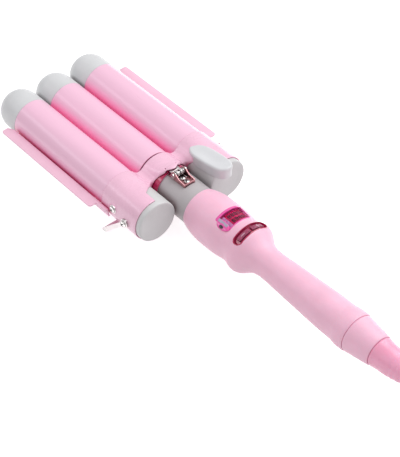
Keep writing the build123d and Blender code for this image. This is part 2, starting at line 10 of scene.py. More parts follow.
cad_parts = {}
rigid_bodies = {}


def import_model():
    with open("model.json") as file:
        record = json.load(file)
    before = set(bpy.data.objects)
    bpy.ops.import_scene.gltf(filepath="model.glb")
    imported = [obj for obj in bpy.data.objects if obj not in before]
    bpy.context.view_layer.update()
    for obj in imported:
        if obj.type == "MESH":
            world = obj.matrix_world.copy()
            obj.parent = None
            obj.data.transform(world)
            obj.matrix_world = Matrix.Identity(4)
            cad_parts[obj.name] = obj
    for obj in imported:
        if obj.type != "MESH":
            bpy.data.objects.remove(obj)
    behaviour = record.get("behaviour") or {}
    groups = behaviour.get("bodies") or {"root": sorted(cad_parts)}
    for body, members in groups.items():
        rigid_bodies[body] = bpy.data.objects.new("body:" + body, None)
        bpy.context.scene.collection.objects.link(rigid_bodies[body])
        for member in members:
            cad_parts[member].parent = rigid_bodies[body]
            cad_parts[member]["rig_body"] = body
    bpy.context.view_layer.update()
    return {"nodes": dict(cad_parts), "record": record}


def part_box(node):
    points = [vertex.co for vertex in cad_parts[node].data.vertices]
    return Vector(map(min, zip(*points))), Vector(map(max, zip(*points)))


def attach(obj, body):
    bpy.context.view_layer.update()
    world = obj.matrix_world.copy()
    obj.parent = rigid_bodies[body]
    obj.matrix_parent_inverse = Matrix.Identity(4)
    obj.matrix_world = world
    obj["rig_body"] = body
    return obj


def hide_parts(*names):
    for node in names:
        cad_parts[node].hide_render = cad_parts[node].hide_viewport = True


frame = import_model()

nodes = frame["nodes"]
MM = 0.001


# ---- where things are ------------------------------------------------------------------------
def span(node):
    """A CAD node's lowest and highest corner, in millimetres."""
    lo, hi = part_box(node)
    return lo / MM, hi / MM


def middle(node):
    lo, hi = span(node)
    return (lo + hi) / 2


def front_of(node, half_width):
    """Foremost x of a node within half_width of the middle plane, in millimetres."""
    return max(v.co.x for v in nodes[node].data.vertices if abs(v.co.y) < half_width * MM) / MM


def reach_of(node):
    """Greatest distance of a node from the handle's axis, in millimetres."""
    return max(math.hypot(v.co.y, v.co.z - AXIS_Z * MM) for v in nodes[node].data.vertices) / MM


AXIS_Z = middle("middle_barrel").z                                    # axis of middle barrel and handle
R = (span("middle_barrel")[1].y - span("middle_barrel")[0].y) / 2     # barrel radius
ARCH_EDGE = front_of("yoke", 6.0)                                     # front edge of the yoke's arch
BODIES = {"left": "clamp", "middle": "handle_unit", "right": "clamp"}


# ---- materials -------------------------------------------------------------------------------
MIDTONES = (0.3, 0.7)             # span of a noise's output that is spread over a whole mix
DARK_SPECKS = (0.2, 0.45)         # lower span, so that only the noise's low spots count
SPECK_PAINT = 0.4                 # share of the paint that is left in a dark speck
OCCLUDED_TO_OPEN = (0.25, 0.85)   # ambient occlusion from deep in a hollow to the open surface, for painted shade
FLAT_TO_EDGE = (0.53, 0.62)       # pointiness from flat to a clear edge
EDGE_WEAR_AND_HIGHLIGHT_TONE = 1.25                  # how much lighter an edge is, partly worn and partly a painted highlight
FLESH_REACH = (0.6, 0.25, 0.3)    # how far red, green and blue light spreads in pink plastic
GRAIN_DEPTH = 0.05                # millimetres


def material(name, color, rough, metal=0.0, coat=0.0, coat_rough=0.1, mottle=0.04, mottle_size=14.0,
             rough_vary=0.05, grain=0.0, grain_size=0.25, stretch=(1, 1, 1), crease_shade=None,
             crease_shade_reach=8.0, subsurface=0.0, wear_and_highlight=0.0):
    """Procedural finish: broad tone changes, fine grain, uneven gloss, painted shade in creases and hollows
    by ambient occlusion, and lighter edges that are partly worn and partly a painted highlight.
    """
    mat = bpy.data.materials.new(name)
    mat.use_nodes = True
    tree = mat.node_tree
    tree.nodes.clear()
    node, link = tree.nodes.new, tree.links.new
    out = node("ShaderNodeOutputMaterial")
    shader = node("ShaderNodeBsdfPrincipled")
    link(shader.outputs[0], out.inputs[0])
    shader.inputs["Metallic"].default_value = metal
    shader.inputs["Coat Weight"].default_value = coat
    shader.inputs["Coat Roughness"].default_value = coat_rough
    if subsurface:
        shader.inputs["Subsurface Weight"].default_value = subsurface
        shader.inputs["Subsurface Radius"].default_value = FLESH_REACH
        shader.inputs["Subsurface Scale"].default_value = 2 * MM
    place = node("ShaderNodeTexCoord")
    scale = node("ShaderNodeMapping")
    scale.inputs["Scale"].default_value = stretch
    link(place.outputs["Object"], scale.inputs["Vector"])

    def noise(size, detail=3.0):
        texture = node("ShaderNodeTexNoise")
        texture.inputs["Scale"].default_value = 1 / (size * MM)
        texture.inputs["Detail"].default_value = detail
        link(scale.outputs[0], texture.inputs["Vector"])
        return texture.outputs["Fac"]

    def mix(a, b, factor):
        mixer = node("ShaderNodeMix")
        mixer.data_type = "RGBA"
        for socket, value in ((mixer.inputs[6], a), (mixer.inputs[7], b), (mixer.inputs[0], factor)):
            if isinstance(value, bpy.types.NodeSocket):
                link(value, socket)
            else:
                socket.default_value = value
        return mixer.outputs[2]

    def tone(factor):
        return tuple(min(1.0, c * factor) for c in color) + (1.0,)

    def ranged(value, low, high, new_low, new_high):
        remap = node("ShaderNodeMapRange")
        remap.inputs["From Min"].default_value = low
        remap.inputs["From Max"].default_value = high
        remap.inputs["To Min"].default_value = new_low
        remap.inputs["To Max"].default_value = new_high
        link(value, remap.inputs["Value"])
        return remap.outputs[0]

    paint = mix(tone(1 - mottle), tone(1 + mottle), ranged(noise(mottle_size), *MIDTONES, 0, 1))
    paint = mix(tone(1 - mottle), paint, ranged(noise(mottle_size / 12), *DARK_SPECKS, SPECK_PAINT, 1))
    # painted shade: creases and hollows are tinted towards a darker, deeper colour where ambient occlusion
    # finds them hidden
    if crease_shade:
        shade = node("ShaderNodeAmbientOcclusion")
        shade.samples = 8
        shade.inputs["Distance"].default_value = crease_shade_reach * MM
        paint = mix(tuple(crease_shade) + (1.0,), paint, ranged(shade.outputs["AO"], *OCCLUDED_TO_OPEN, 0, 1))
    # convex edges made lighter: partly worn, partly a painted highlight along rims
    if wear_and_highlight:
        edge = node("ShaderNodeNewGeometry")
        paint = mix(paint, tone(EDGE_WEAR_AND_HIGHLIGHT_TONE), ranged(edge.outputs["Pointiness"], *FLAT_TO_EDGE, 0, wear_and_highlight))
    link(paint, shader.inputs["Base Color"])
    gloss = ranged(noise(mottle_size / 3), *MIDTONES, rough - rough_vary, rough + rough_vary)
    link(gloss, shader.inputs["Roughness"])
    if grain:
        bump = node("ShaderNodeBump")
        bump.inputs["Strength"].default_value = grain
        bump.inputs["Distance"].default_value = GRAIN_DEPTH * MM
        link(noise(grain_size, 4.0), bump.inputs["Height"])
        link(bump.outputs[0], shader.inputs["Normal"])
    return mat


# In each finish below, the colour given for creases is painted shade for its creases and hollows, and
# lightened edges are partly worn and partly a painted highlight.
PALETTE = {
    "soft_pink": material("soft_pink", (0.96, 0.545, 0.70), 0.42, grain=0.10, grain_size=0.30, coat=0.08,
                          coat_rough=0.35, subsurface=0.15, crease_shade=(0.66, 0.26, 0.40), crease_shade_reach=4.0),
    "coated_pink": material("coated_pink", (0.94, 0.57, 0.74), 0.30, coat=0.45, coat_rough=0.16, grain=0.05,
                            grain_size=0.4, stretch=(0.08, 1, 1), mottle=0.025, rough_vary=0.03,
                            crease_shade=(1.0, 0.30, 0.55), crease_shade_reach=12.0),
    "gloss_pink": material("gloss_pink", (0.93, 0.56, 0.72), 0.28, coat=0.5, coat_rough=0.12, grain=0.04,
                           crease_shade=(0.80, 0.20, 0.38), crease_shade_reach=6.0),
    "painted_pink": material("painted_pink", (0.95, 0.58, 0.73), 0.36, coat=0.3, coat_rough=0.2, grain=0.08,
                             grain_size=0.5, crease_shade=(0.96, 0.20, 0.44), crease_shade_reach=6.0),
    "cap_grey": material("cap_grey", (0.68, 0.69, 0.70), 0.40, coat=0.1, coat_rough=0.3, grain=0.10,
                         crease_shade=(0.40, 0.39, 0.40), crease_shade_reach=4.0),
    "lever_grey": material("lever_grey", (0.70, 0.71, 0.73), 0.34, coat=0.25, coat_rough=0.2, grain=0.06,
                           crease_shade=(0.42, 0.40, 0.41), crease_shade_reach=4.0),
    "neck_grey": material("neck_grey", (0.50, 0.47, 0.48), 0.42, grain=0.12, crease_shade=(0.24, 0.17, 0.18),
                          crease_shade_reach=7.0),
    "bright_steel": material("bright_steel", (0.74, 0.72, 0.71), 0.20, metal=1.0, mottle=0.06,
                             mottle_size=3.0, rough_vary=0.05, grain=0.10, grain_size=0.15,
                             crease_shade=(0.012, 0.010, 0.010), crease_shade_reach=1.4, wear_and_highlight=0.4),
    "bracket_metal": material("bracket_metal", (0.58, 0.29, 0.31), 0.30, metal=1.0, mottle=0.10,
                              mottle_size=2.0, grain=0.2, grain_size=0.2, stretch=(0.2, 1, 1),
                              crease_shade=(0.12, 0.04, 0.045), crease_shade_reach=2.2, wear_and_highlight=0.15),
    "bezel_pink": material("bezel_pink", (0.90, 0.10, 0.42), 0.12, coat=1.0, coat_rough=0.03, mottle=0.06,
                           subsurface=0.3, wear_and_highlight=0.5),
    "display_dark": material("display_dark", (0.40, 0.004, 0.07), 0.15, coat=1.0, coat_rough=0.02,
                             mottle=0.12, mottle_size=2.5, crease_shade=(0.10, 0.0, 0.02), crease_shade_reach=1.5),
    "recess_red": material("recess_red", (0.50, 0.006, 0.085), 0.16, coat=1.0, coat_rough=0.05, mottle=0.12,
                           mottle_size=2.5, crease_shade=(0.14, 0.0, 0.02), crease_shade_reach=1.6),
    "button_mauve": material("button_mauve", (0.34, 0.06, 0.13), 0.36, grain=0.6, grain_size=0.30,
                             mottle=0.35, mottle_size=1.4, crease_shade=(0.14, 0.01, 0.04), crease_shade_reach=1.0),
    "boot_pink": material("boot_pink", (1.0, 0.42, 0.60), 0.30, coat=0.3, coat_rough=0.2, subsurface=0.3,
                          grain=0.05, crease_shade=(0.74, 0.12, 0.34), crease_shade_reach=3.0),
    "spreader_aluminium": material("spreader_aluminium", (0.75, 0.76, 0.78), 0.3, metal=1.0, grain=0.3,
                                   stretch=(0.05, 1, 1)),
    "ceramic_white": material("ceramic_white", (0.85, 0.84, 0.80), 0.3, grain=0.1, mottle=0.05),
    "board_green": material("board_green", (0.03, 0.22, 0.08), 0.35, coat=0.4, grain=0.1, mottle=0.2,
                            mottle_size=4.0),
    "switch_black": material("switch_black", (0.03, 0.03, 0.03), 0.4, grain=0.2),
    "bush_white": material("bush_white", (0.80, 0.79, 0.76), 0.35, grain=0.1),
    "contact_brass": material("contact_brass", (0.80, 0.60, 0.28), 0.22, metal=1.0, grain=0.2,
                              grain_size=0.1),
    "lead_red": material("lead_red", (0.55, 0.03, 0.03), 0.35, grain=0.1),
}
DISPLAY_LABEL = material("display_label", (0.46, 0.38, 0.52), 0.25, coat=1.0, coat_rough=0.05, mottle=0.10,
                         mottle_size=3.0)
# painted shade: a slightly darker copy of cap_grey for the rear plugs' faces
PLUG_GREY_SHADED = material("plug_grey_shaded", (0.66, 0.66, 0.665), 0.42, grain=0.10, coat=0.1, coat_rough=0.3,
                     crease_shade=(0.42, 0.40, 0.41), crease_shade_reach=2.0)
# painted shade: deeper pink for the shaded groove lines at the collar's joints
GROOVE_SHADE_PINK = material("groove_shade_pink", (0.90, 0.30, 0.48), 0.5, grain=0.1, subsurface=0.2)
# painted shadow: dark colour for the shaded gap under the arch's front edge
GAP_SHADOW_PAINT = material("painted_gap_shadow", (0.20, 0.045, 0.10), 0.45, grain=0.1)
MARK_PALE = material("mark_pale", (0.62, 0.36, 0.45), 0.35, grain=0.1)
DISPLAY_INK = material("display_ink", (0.012, 0.002, 0.008), 0.30, coat=0.6, coat_rough=0.08, mottle=0.2,
                       mottle_size=2.0)


def lens_material():
    """Clear pink lens over the display, with little bending of light."""
    mat = bpy.data.materials.new("lens_pink")
    mat.use_nodes = True
    shader = mat.node_tree.nodes["Principled BSDF"]
    shader.inputs["Base Color"].default_value = (0.97, 0.62, 0.80, 1)
    shader.inputs["Roughness"].default_value = 0.04
    shader.inputs["Transmission Weight"].default_value = 1.0
    shader.inputs["IOR"].default_value = 1.15
    return mat


PALETTE["lens_pink"] = lens_material()
nodes["display_window"].visible_shadow = False
slot_of = {s["node"]: s["material_slot"] for s in frame["record"]["subparts"]}
for name, obj in nodes.items():
    obj.data.materials.clear()
    obj.data.materials.append(PALETTE[slot_of[name]])


# ---- mesh building ---------------------------------------------------------------------------
def piece(name, mesh, body, slot, *replaced, smooth_angle=40.0, finish=None):
    """Adds a mesh as a named piece that rides on its body and takes the place of the CAD nodes given."""
    obj = bpy.data.objects.new(name, mesh)
    bpy.context.scene.collection.objects.link(obj)
    mesh.name = name
    mesh.materials.clear()
    mesh.materials.append(finish or PALETTE[slot])
    mesh.shade_smooth()
    mesh.set_sharp_from_angle(angle=math.radians(smooth_angle))
    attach(obj, body)
    if replaced:
        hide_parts(*replaced)


def joined(name, meshes):
    """Several meshes as one."""
    bm = bmesh.new()
    for mesh in meshes:
        bm.from_mesh(mesh)
    out = bpy.data.meshes.new(name)
    bm.to_mesh(out)
    bm.free()
    return out


MOST_OF_HALF = 0.49       # share of a side that one fillet may take up
ON_AXIS = 1e-6            # radius below which a turned profile's point is a single vertex


def rounded(points, steps=5):
    """Polyline corners (x, r, fillet) turned into arcs; a fillet of 0 keeps the corner."""
    out = []
    for i, (x, r, fillet) in enumerate(points):
        here = Vector((x, r))
        if not fillet or i in (0, len(points) - 1):
            out.append(here)
            continue
        before = Vector(points[i - 1][:2]) - here
        after = Vector(points[i + 1][:2]) - here
        half = before.angle(after) / 2
        reach = min(fillet / math.tan(half), before.length * MOST_OF_HALF, after.length * MOST_OF_HALF)
        start, end = here + before.normalized() * reach, here + after.normalized() * reach
        for k in range(steps + 1):
            t = k / steps
            out.append(start * (1 - t) ** 2 + here * 2 * t * (1 - t) + end * t ** 2)
    return out


def ring_profile(start, end, inner, outer, fillet):
    """Profile of a ring from start to end along X, with its two outer corners rounded."""
    return rounded([(start, inner, 0), (start, outer, fillet), (end, outer, fillet), (end, inner, 0)])


def spline_point(p0, p1, p2, p3, t):
    """Point at t on the smooth (Catmull-Rom) line from p1 to p2."""
    return 0.5 * ((2 * p1) + (p2 - p0) * t + (2 * p0 - 5 * p1 + 4 * p2 - p3) * t ** 2
                  + (3 * p1 - p0 - 3 * p2 + p3) * t ** 3)


def curve_through(points, steps):
    """Smooth open line through points."""
    pts = [Vector(p) for p in points]
    out = []
    for i in range(len(pts) - 1):
        p0, p1, p2 = pts[max(i - 1, 0)], pts[i], pts[i + 1]
        p3 = pts[min(i + 2, len(pts) - 1)]
        out += [spline_point(p0, p1, p2, p3, k / steps) for k in range(steps)]
    return out + [pts[-1]]


def closed_curve(points, steps):
    """Smooth closed line through points."""
    count = len(points)
    out = []
    for i in range(count):
        p0, p1, p2, p3 = (Vector(points[(i + k - 1) % count]) for k in range(4))
        out += [spline_point(p0, p1, p2, p3, k / steps) for k in range(steps)]
    return out


def lathe(profile, y=0.0, z=None, closed=False, segments=128):
    """Turns (x, r) millimetre points round the X axis line at (y, z)."""
    z = AXIS_Z if z is None else z
    verts, faces, rings = [], [], []
    for x, r in profile:
        if r < ON_AXIS:
            rings.append([len(verts)])
            verts.append((x, y, z))
            continue
        rings.append(list(range(len(verts), len(verts) + segments)))
        for k in range(segments):
            a = 2 * math.pi * k / segments
            verts.append((x, y + r * math.sin(a), z + r * math.cos(a)))
    pairs = list(zip(rings, rings[1:])) + ([(rings[-1], rings[0])] if closed else [])
    for a, b in pairs:
        for k in range(segments):
            n = (k + 1) % segments
            quad = [a[k % len(a)], a[n % len(a)], b[n % len(b)], b[k % len(b)]]
            quad = [v for i, v in enumerate(quad) if v not in quad[:i]]
            if len(quad) > 2:
                faces.append(quad)
    mesh = bpy.data.meshes.new("lathe")
    mesh.from_pydata([Vector(v) * MM for v in verts], [], faces)
    mesh.update()
    fix_normals(mesh)
    return mesh


def fix_normals(mesh):
    bm = bmesh.new()
    bm.from_mesh(mesh)
    bmesh.ops.recalc_face_normals(bm, faces=bm.faces)
    bm.to_mesh(mesh)
    bm.free()


def rings_mesh(rings):
    """Skin through closed rings with the same number of points, in millimetres, capped at both ends."""
    verts = [Vector(p) * MM for ring in rings for p in ring]
    count = len(rings[0])
    faces = []
    for i in range(len(rings) - 1):
        for k in range(count):
            n = (k + 1) % count
            faces.append([i * count + k, i * count + n, (i + 1) * count + n, (i + 1) * count + k])
    faces.append(list(range(count)))
    faces.append([(len(rings) - 1) * count + k for k in range(count)])
    mesh = bpy.data.meshes.new("rings")
    mesh.from_pydata(verts, [], faces)
    mesh.update()
    fix_normals(mesh)
    return mesh


# ---- barrels and their caps ------------------------------------------------------------------
WALL = 1.2                # barrel wall
DOME = 15.2               # length of a tip's dome
DOME_POWER = 2.15         # superellipse power of the dome, a little fuller than an ellipse
GROOVE_WIDTH = 1.9        # groove of the middle barrel in front of the arch
GROOVE_DEPTH = 0.9


def make_barrel(side):
    """Open tube; the middle one has a groove where the yoke's arch ends."""
    lo, hi = span(f"{side}_barrel")
    axis = middle(f"{side}_barrel")
    inner = R - WALL
    groove = []
    if side == "middle":
        start, end, base = ARCH_EDGE, ARCH_EDGE + GROOVE_WIDTH, R - GROOVE_DEPTH
        groove = [(start, R, 0.05), (start, base, 0), (end, base, 0), (end, R, 0.15)]
    profile = rounded([(lo.x, inner, 0), (lo.x, R, 0.25), *groove, (hi.x, R, 0.3), (hi.x, inner, 0)])
    mesh = lathe(profile, axis.y, axis.z, closed=True)
    piece(f"{side}_barrel_tube", mesh, BODIES[side], "coated_pink", f"{side}_barrel")


def make_tip(side):
    """Domed tip with a plug that sits inside the barrel."""
    lo, hi = span(f"{side}_tip_cap")
    axis = middle(f"{side}_barrel")
    seam = span(f"{side}_barrel")[1].x + 0.02
    start = hi.x - DOME
    profile = [(lo.x, 0), (lo.x, R - WALL), (seam, R - WALL)]
    profile += [(p.x, p.y) for p in rounded([(seam, R - WALL, 0), (seam, R, 0.3), (start, R, 0)])]
    steps = 24
    for k in range(1, steps):
        t = k / steps * math.pi / 2
        along = DOME * math.sin(t) ** (2 / DOME_POWER)
        profile.append((start + along, R * math.cos(t) ** (2 / DOME_POWER)))
    profile.append((hi.x, 0))
    piece(f"{side}_tip", lathe(profile, axis.y, axis.z), BODIES[side], "cap_grey", f"{side}_tip_cap")


def make_rear(side):
    """Rear plug: slightly sunken face, rounded rim and a step where the barrel slides on."""
    lo, hi = span(f"{side}_rear_cap")
    axis = middle(f"{side}_barrel")
    rim = (hi.y - lo.y) / 2 - 0.02
    plug = R - WALL - 0.2
    seat = span(f"{side}_barrel")[0].x
    face, step, end, soft = lo.x + 0.15, seat - 0.4, seat + 6, 2.0
    profile = rounded([
        (face, 0, 0), (face, rim - 6.5, soft), (lo.x, rim - 3.0, soft), (lo.x, rim, soft),
        (step, rim, 0), (step, plug, 0), (end, plug, 0), (end, 0, 0),
    ], steps=7)
    piece(f"{side}_rear_plug", lathe(profile, axis.y, axis.z), "clamp", "cap_grey", f"{side}_rear_cap",
          finish=PLUG_GREY_SHADED)


for side in BODIES:
    make_barrel(side)
    make_tip(side)
for side in ("left", "right"):
    make_rear(side)


# ---- CAD shapes with eased edges -------------------------------------------------------------
WELD = 0.002 * MM                 # vertices closer than this are one
FLAT = math.radians(0.8)          # faces that meet at less than this are one plane
SHARP = math.radians(35.0)        # edges sharper than this are eased


def eased(node, width):
    """A CAD node's shape with its sharp edges rounded over."""
    bm = bmesh.new()
    bm.from_mesh(nodes[node].data)
    bmesh.ops.remove_doubles(bm, verts=bm.verts, dist=WELD)
    bmesh.ops.dissolve_limit(bm, angle_limit=FLAT, verts=bm.verts, edges=bm.edges)
    sharp = [e for e in bm.edges if len(e.link_faces) == 2 and e.calc_face_angle() > SHARP]
    bmesh.ops.bevel(bm, geom=sharp, offset=width * MM, offset_type="OFFSET", segments=2, profile=0.5,
                    clamp_overlap=False, affect="EDGES")
    bmesh.ops.triangulate(bm, faces=[f for f in bm.faces if len(f.verts) > 4])
    mesh = bpy.data.meshes.new(node)
    bm.to_mesh(mesh)
    bm.free()
    return mesh


def applied(mesh, kind, **settings):
    """A mesh after one modifier."""
    obj = bpy.data.objects.new("applied", mesh)
    bpy.context.scene.collection.objects.link(obj)
    modifier = obj.modifiers.new("applied", kind)
    for key, value in settings.items():
        setattr(modifier, key, value)
    graph = bpy.context.evaluated_depsgraph_get()
    out = bpy.data.meshes.new_from_object(obj.evaluated_get(graph))
    bpy.data.objects.remove(obj)
    return out


def moulded(node, voxel, relax, fillers):
    """A CAD node's shape with filler blocks (centre, size), remeshed so that it looks softly moulded."""
    mesh = nodes[node].data.copy()
    bm = bmesh.new()
    bm.from_mesh(mesh)
    bmesh.ops.remove_doubles(bm, verts=bm.verts, dist=WELD)
    for centre, size in fillers:
        place = Matrix.Translation(Vector(centre) * MM) @ Matrix.Diagonal((*(v * MM for v in size), 1))
        bmesh.ops.create_cube(bm, size=1, matrix=place)
    bm.to_mesh(mesh)
    bm.free()
    mesh = applied(mesh, "REMESH", mode="VOXEL", voxel_size=voxel * MM)
    return applied(mesh, "SMOOTH", factor=0.5, iterations=relax)


def ease_all(width, *names):
    """Puts eased pieces in place of CAD nodes."""
    for name in names:
        piece(f"{name}_eased", eased(name, width), nodes[name]["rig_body"], slot_of[name], name)


ease_all(0.25, "left_trough_plate", "right_trough_plate", "stand_bail", "hinge_leaf")
ease_all(0.15, "hinge_bracket", "minus_button", "plus_button")


# ---- yoke ------------------------------------------------------------------------------------
HALF_WAY = 0.5            # share of the way to its neighbours' middle that a vertex goes at full weight
RIM_DRAW = 2.0            # how far the arch's rear rim is drawn forward


def settle(mesh, weight, rounds):
    """Relax a mesh's vertices towards their neighbours, as strongly as weight(point) says."""
    count = len(mesh.vertices)
    flat = np.empty(count * 3)
    mesh.vertices.foreach_get("co", flat)
    points = flat.reshape(-1, 3)
    ends = np.empty(len(mesh.edges) * 2, dtype=np.int64)
    mesh.edges.foreach_get("vertices", ends)
    first, second = ends[0::2], ends[1::2]
    degree = np.bincount(ends, minlength=count)[:, None]
    share = weight(points)[:, None] * HALF_WAY
    for _ in range(rounds):
        total = np.empty_like(points)
        for k in range(3):
            total[:, k] = np.bincount(first, points[second, k], count)
            total[:, k] += np.bincount(second, points[first, k], count)
        points = points + share * (total / degree - points)
    mesh.vertices.foreach_set("co", points.ravel())
    mesh.update()
    return mesh


def ramp(value, start, end):
    """0 up to start, 1 from end on, and a straight rise between."""
    return np.clip((value - start) / (end - start), 0, 1)


def window(value, start, full, fade, end):
    """0 outside start and end, 1 between full and fade."""
    return ramp(value, start, full) * (1 - ramp(value, fade, end))


def valley_weight(points):
    """1 on the outside of the two valleys between the arch and the sleeves, fading to 0 around them."""
    x, y, z = (points[:, k] / MM for k in range(3))
    side = middle("left_barrel")
    rear = span("yoke")[0].x
    arch_inside, sleeve_inside, floor = R + 0.9, R + 0.45, AXIS_Z + 2
    from_middle = np.hypot(y, z - AXIS_Z)
    from_side = np.hypot(np.abs(y) - side.y, z - side.z)
    outside = (from_middle > arch_inside) & (from_side > sleeve_inside) & (z > floor)
    across = window(np.abs(y), 5, 11, 23, 29)
    along = window(x, rear + 12, rear + 18, ARCH_EDGE - 1.6, ARCH_EDGE - 0.4)
    return np.where(outside, across * along, 0.0)


def rim_weight(points):
    """1 along the arch's rear rim, fading out on the arch and down its flanks."""
    x, y, z = (points[:, k] / MM for k in range(3))
    leaf_end = span("hinge_leaf")[1].x
    near_rim = 1 - ramp(x, leaf_end, leaf_end + 5)
    on_top = ramp(z, AXIS_Z + 7, AXIS_Z + 11)
    off_sleeves = 1 - ramp(np.abs(y), 13, 16)
    return near_rim * on_top * off_sleeves


def draw_rim(mesh):
    """Draws the arch's rear rim forward, half as much at the crown as on the flanks."""
    rim = span("middle_barrel")[0].x
    crown, flank_run, sleeve, sleeve_run = 3, 6, 18.5, 2.5
    still, fade_run = rim + 11, 9
    for v in mesh.vertices:
        x, y, z = (k / MM for k in v.co)
        if z < AXIS_Z:
            continue
        to_flank = 0.5 + min(max((abs(y) - crown) / flank_run, 0), 0.5)
        off_sleeve = min(max((sleeve - abs(y)) / sleeve_run, 0), 1)
        along = min(max((still - x) / fade_run, 0), 1)
        v.co.x += RIM_DRAW * (to_flank * off_sleeve) * along * MM
    return mesh


def make_yoke():
    """One soft moulding. The filler keeps the leaf screws' holes from breaking through the arch."""
    leaf = middle("leaf_screws")
    roof = span("leaf_screws")[1].z
    filler = ((leaf.x, 0, roof + 0.05), (2.6, 6.6, 1.5))
    mesh = moulded("yoke", 0.44, 10, [filler])
    mesh = draw_rim(settle(mesh, valley_weight, 90))
    return settle(mesh, rim_weight, 25)


piece("yoke_moulding", make_yoke(), "clamp", "gloss_pink", "yoke", smooth_angle=80)


# ---- painted shade bands on the middle barrel ------------------------------------------------
def make_shade_bands():
    """Painted shadow: a dark band in the groove in front of the arch, and a deep red band of painted shade
    on the barrel's root behind the arch.
    """
    axis = middle("middle_barrel")
    back = span("middle_barrel")[0].x
    # painted shadow: dark ring standing for the shaded gap under the arch's front edge
    joint = ring_profile(ARCH_EDGE - 0.5, ARCH_EDGE + 1.85, R - 1.0, R - 0.3, 0.1)
    # painted shade: deep red ring for the shaded root of the barrel seen under the arch's rear edge
    root = ring_profile(back - 0.1, back + 9, R - 0.5, R + 0.1, 0.2)
    for name, profile, slot, finish in (
        ("arch_gap_shadow_band", joint, "coated_pink", GAP_SHADOW_PAINT),
        ("barrel_root_shade_band", root, "recess_red", None),
    ):
        piece(name, lathe(profile, axis.y, axis.z, closed=True), "handle_unit", slot, finish=finish)


make_shade_bands()


# ---- display ---------------------------------------------------------------------------------
def curved_patch(x0, x1, low, high, inner, outer, steps=6):
    """Closed curved plate round the handle's axis, between two angles from the top, in degrees."""
    bm = bmesh.new()
    rows = []
    for k in range(steps + 1):
        a = math.radians(low + (high - low) * k / steps)
        rows.append([
            bm.verts.new((x * MM, r * math.sin(a) * MM, (AXIS_Z + r * math.cos(a)) * MM))
            for x, r in ((x0, inner), (x1, inner), (x1, outer), (x0, outer))
        ])
    for one, two in zip(rows, rows[1:]):
        for k in range(4):
            bm.faces.new((one[k], one[(k + 1) % 4], two[(k + 1) % 4], two[k]))
    bm.faces.new(rows[0])
    bm.faces.new(reversed(rows[-1]))
    bmesh.ops.recalc_face_normals(bm, faces=bm.faces)
    mesh = bpy.data.meshes.new("patch")
    bm.to_mesh(mesh)
    bm.free()
    return mesh


def digit(x0, x1, low, high, bar, inner, outer):
    """Digit 8 as seven curved bars: three across and four along."""
    bar_angle = math.degrees(bar / outer)
    inset = bar_angle * 0.6
    gap = 0.1
    middle_x = (x0 + x1) / 2
    bars = [curved_patch(x, x + bar, low + inset, high - inset, inner, outer, 3)
            for x in (x0, middle_x - bar / 2, x1 - bar)]
    for start, end in ((x0 + gap, middle_x - gap), (middle_x + gap, x1 - gap)):
        for edge in (low, high - bar_angle):
            bars.append(curved_patch(start, end, edge, edge + bar_angle, inner, outer, 2))
    return bars


SUNK = 0.1                # how deep a mark's underside lies in the surface it stands on
PLATE_HEIGHT = 0.12       # how far a label plate or a button's mark stands out


def make_display():
    """Dark mask under the lens, a lilac plate on its left and two rows of generic digits."""
    lo, hi = span("display_bezel")
    x0, x1 = lo.x + 1.2, hi.x - 1.8
    sheet, top = 15.6, 16.15
    mask = curved_patch(x0, x1, -35.3, 25.3, sheet, top, 24)
    plate = curved_patch(x0 + 0.4, x1 - 0.4, 15.5, 25.1, top - SUNK, top + PLATE_HEIGHT, 8)
    piece("display_mask", mask, "handle_unit", "display_dark")
    piece("display_label_plate", plate, "handle_unit", "display_dark", finish=DISPLAY_LABEL)
    first, pitch, width, length, bar = -27.5, 10.0, 7.6, 3.1, 0.62
    bars = []
    for row in (x0 + 1.6, x0 + 6.3):
        for k in range(4):
            low = first + k * pitch
            bars += digit(row, row + length, low, low + width, bar, top - SUNK, top + SUNK)
    piece("display_digits", joined("digits", bars), "handle_unit", "display_dark", finish=DISPLAY_INK)


def dome(middle_x, angle, surface, half_x, half_y, height):
    """Low oval dome on the round surface round the handle's axis, angle in radians from the top."""
    levels, points, crown, sunk = 6, 32, 0.03, 0.94
    rings = []
    for k in range(levels + 1):
        t = k / levels * math.pi / 2
        size = max(math.cos(t), crown)
        r = surface + height * math.sin(t)
        ring = []
        for m in range(points):
            b = 2 * math.pi * m / points
            a = angle + size * half_y * math.sin(b) / surface
            ring.append((middle_x + size * half_x * math.cos(b), r * math.sin(a), AXIS_Z + r * math.cos(a)))
        rings.append(ring)
    base = [(x, y * sunk, AXIS_Z + (z - AXIS_Z) * sunk) for x, y, z in rings[0]]
    return rings_mesh([base] + rings)


def make_lamp():
    """The bezel's rounded left end with a lilac plate and a dark oval lamp."""
    outer = reach_of("display_bezel")
    lo, hi = span("power_lamp")
    lamp_x = (lo.x + hi.x) / 2
    height = 0.45
    end = dome(lamp_x - 0.3, math.radians(33.0), outer - 0.35, 6.2, 3.3, height)
    plate = curved_patch(lamp_x - 4.4, lamp_x + 4.8, 25.0, 31.5, outer - 0.8, outer + 0.08)
    lamp = dome(lamp_x - 0.5, math.radians(37.2), outer - 0.08, 2.0, 1.2, height)
    piece("bezel_end", end, "handle_unit", "bezel_pink")
    piece("bezel_label_plate", plate, "handle_unit", "display_dark", finish=DISPLAY_LABEL)
    piece("power_lamp_dome", lamp, "handle_unit", "display_dark", "power_lamp", finish=DISPLAY_INK)


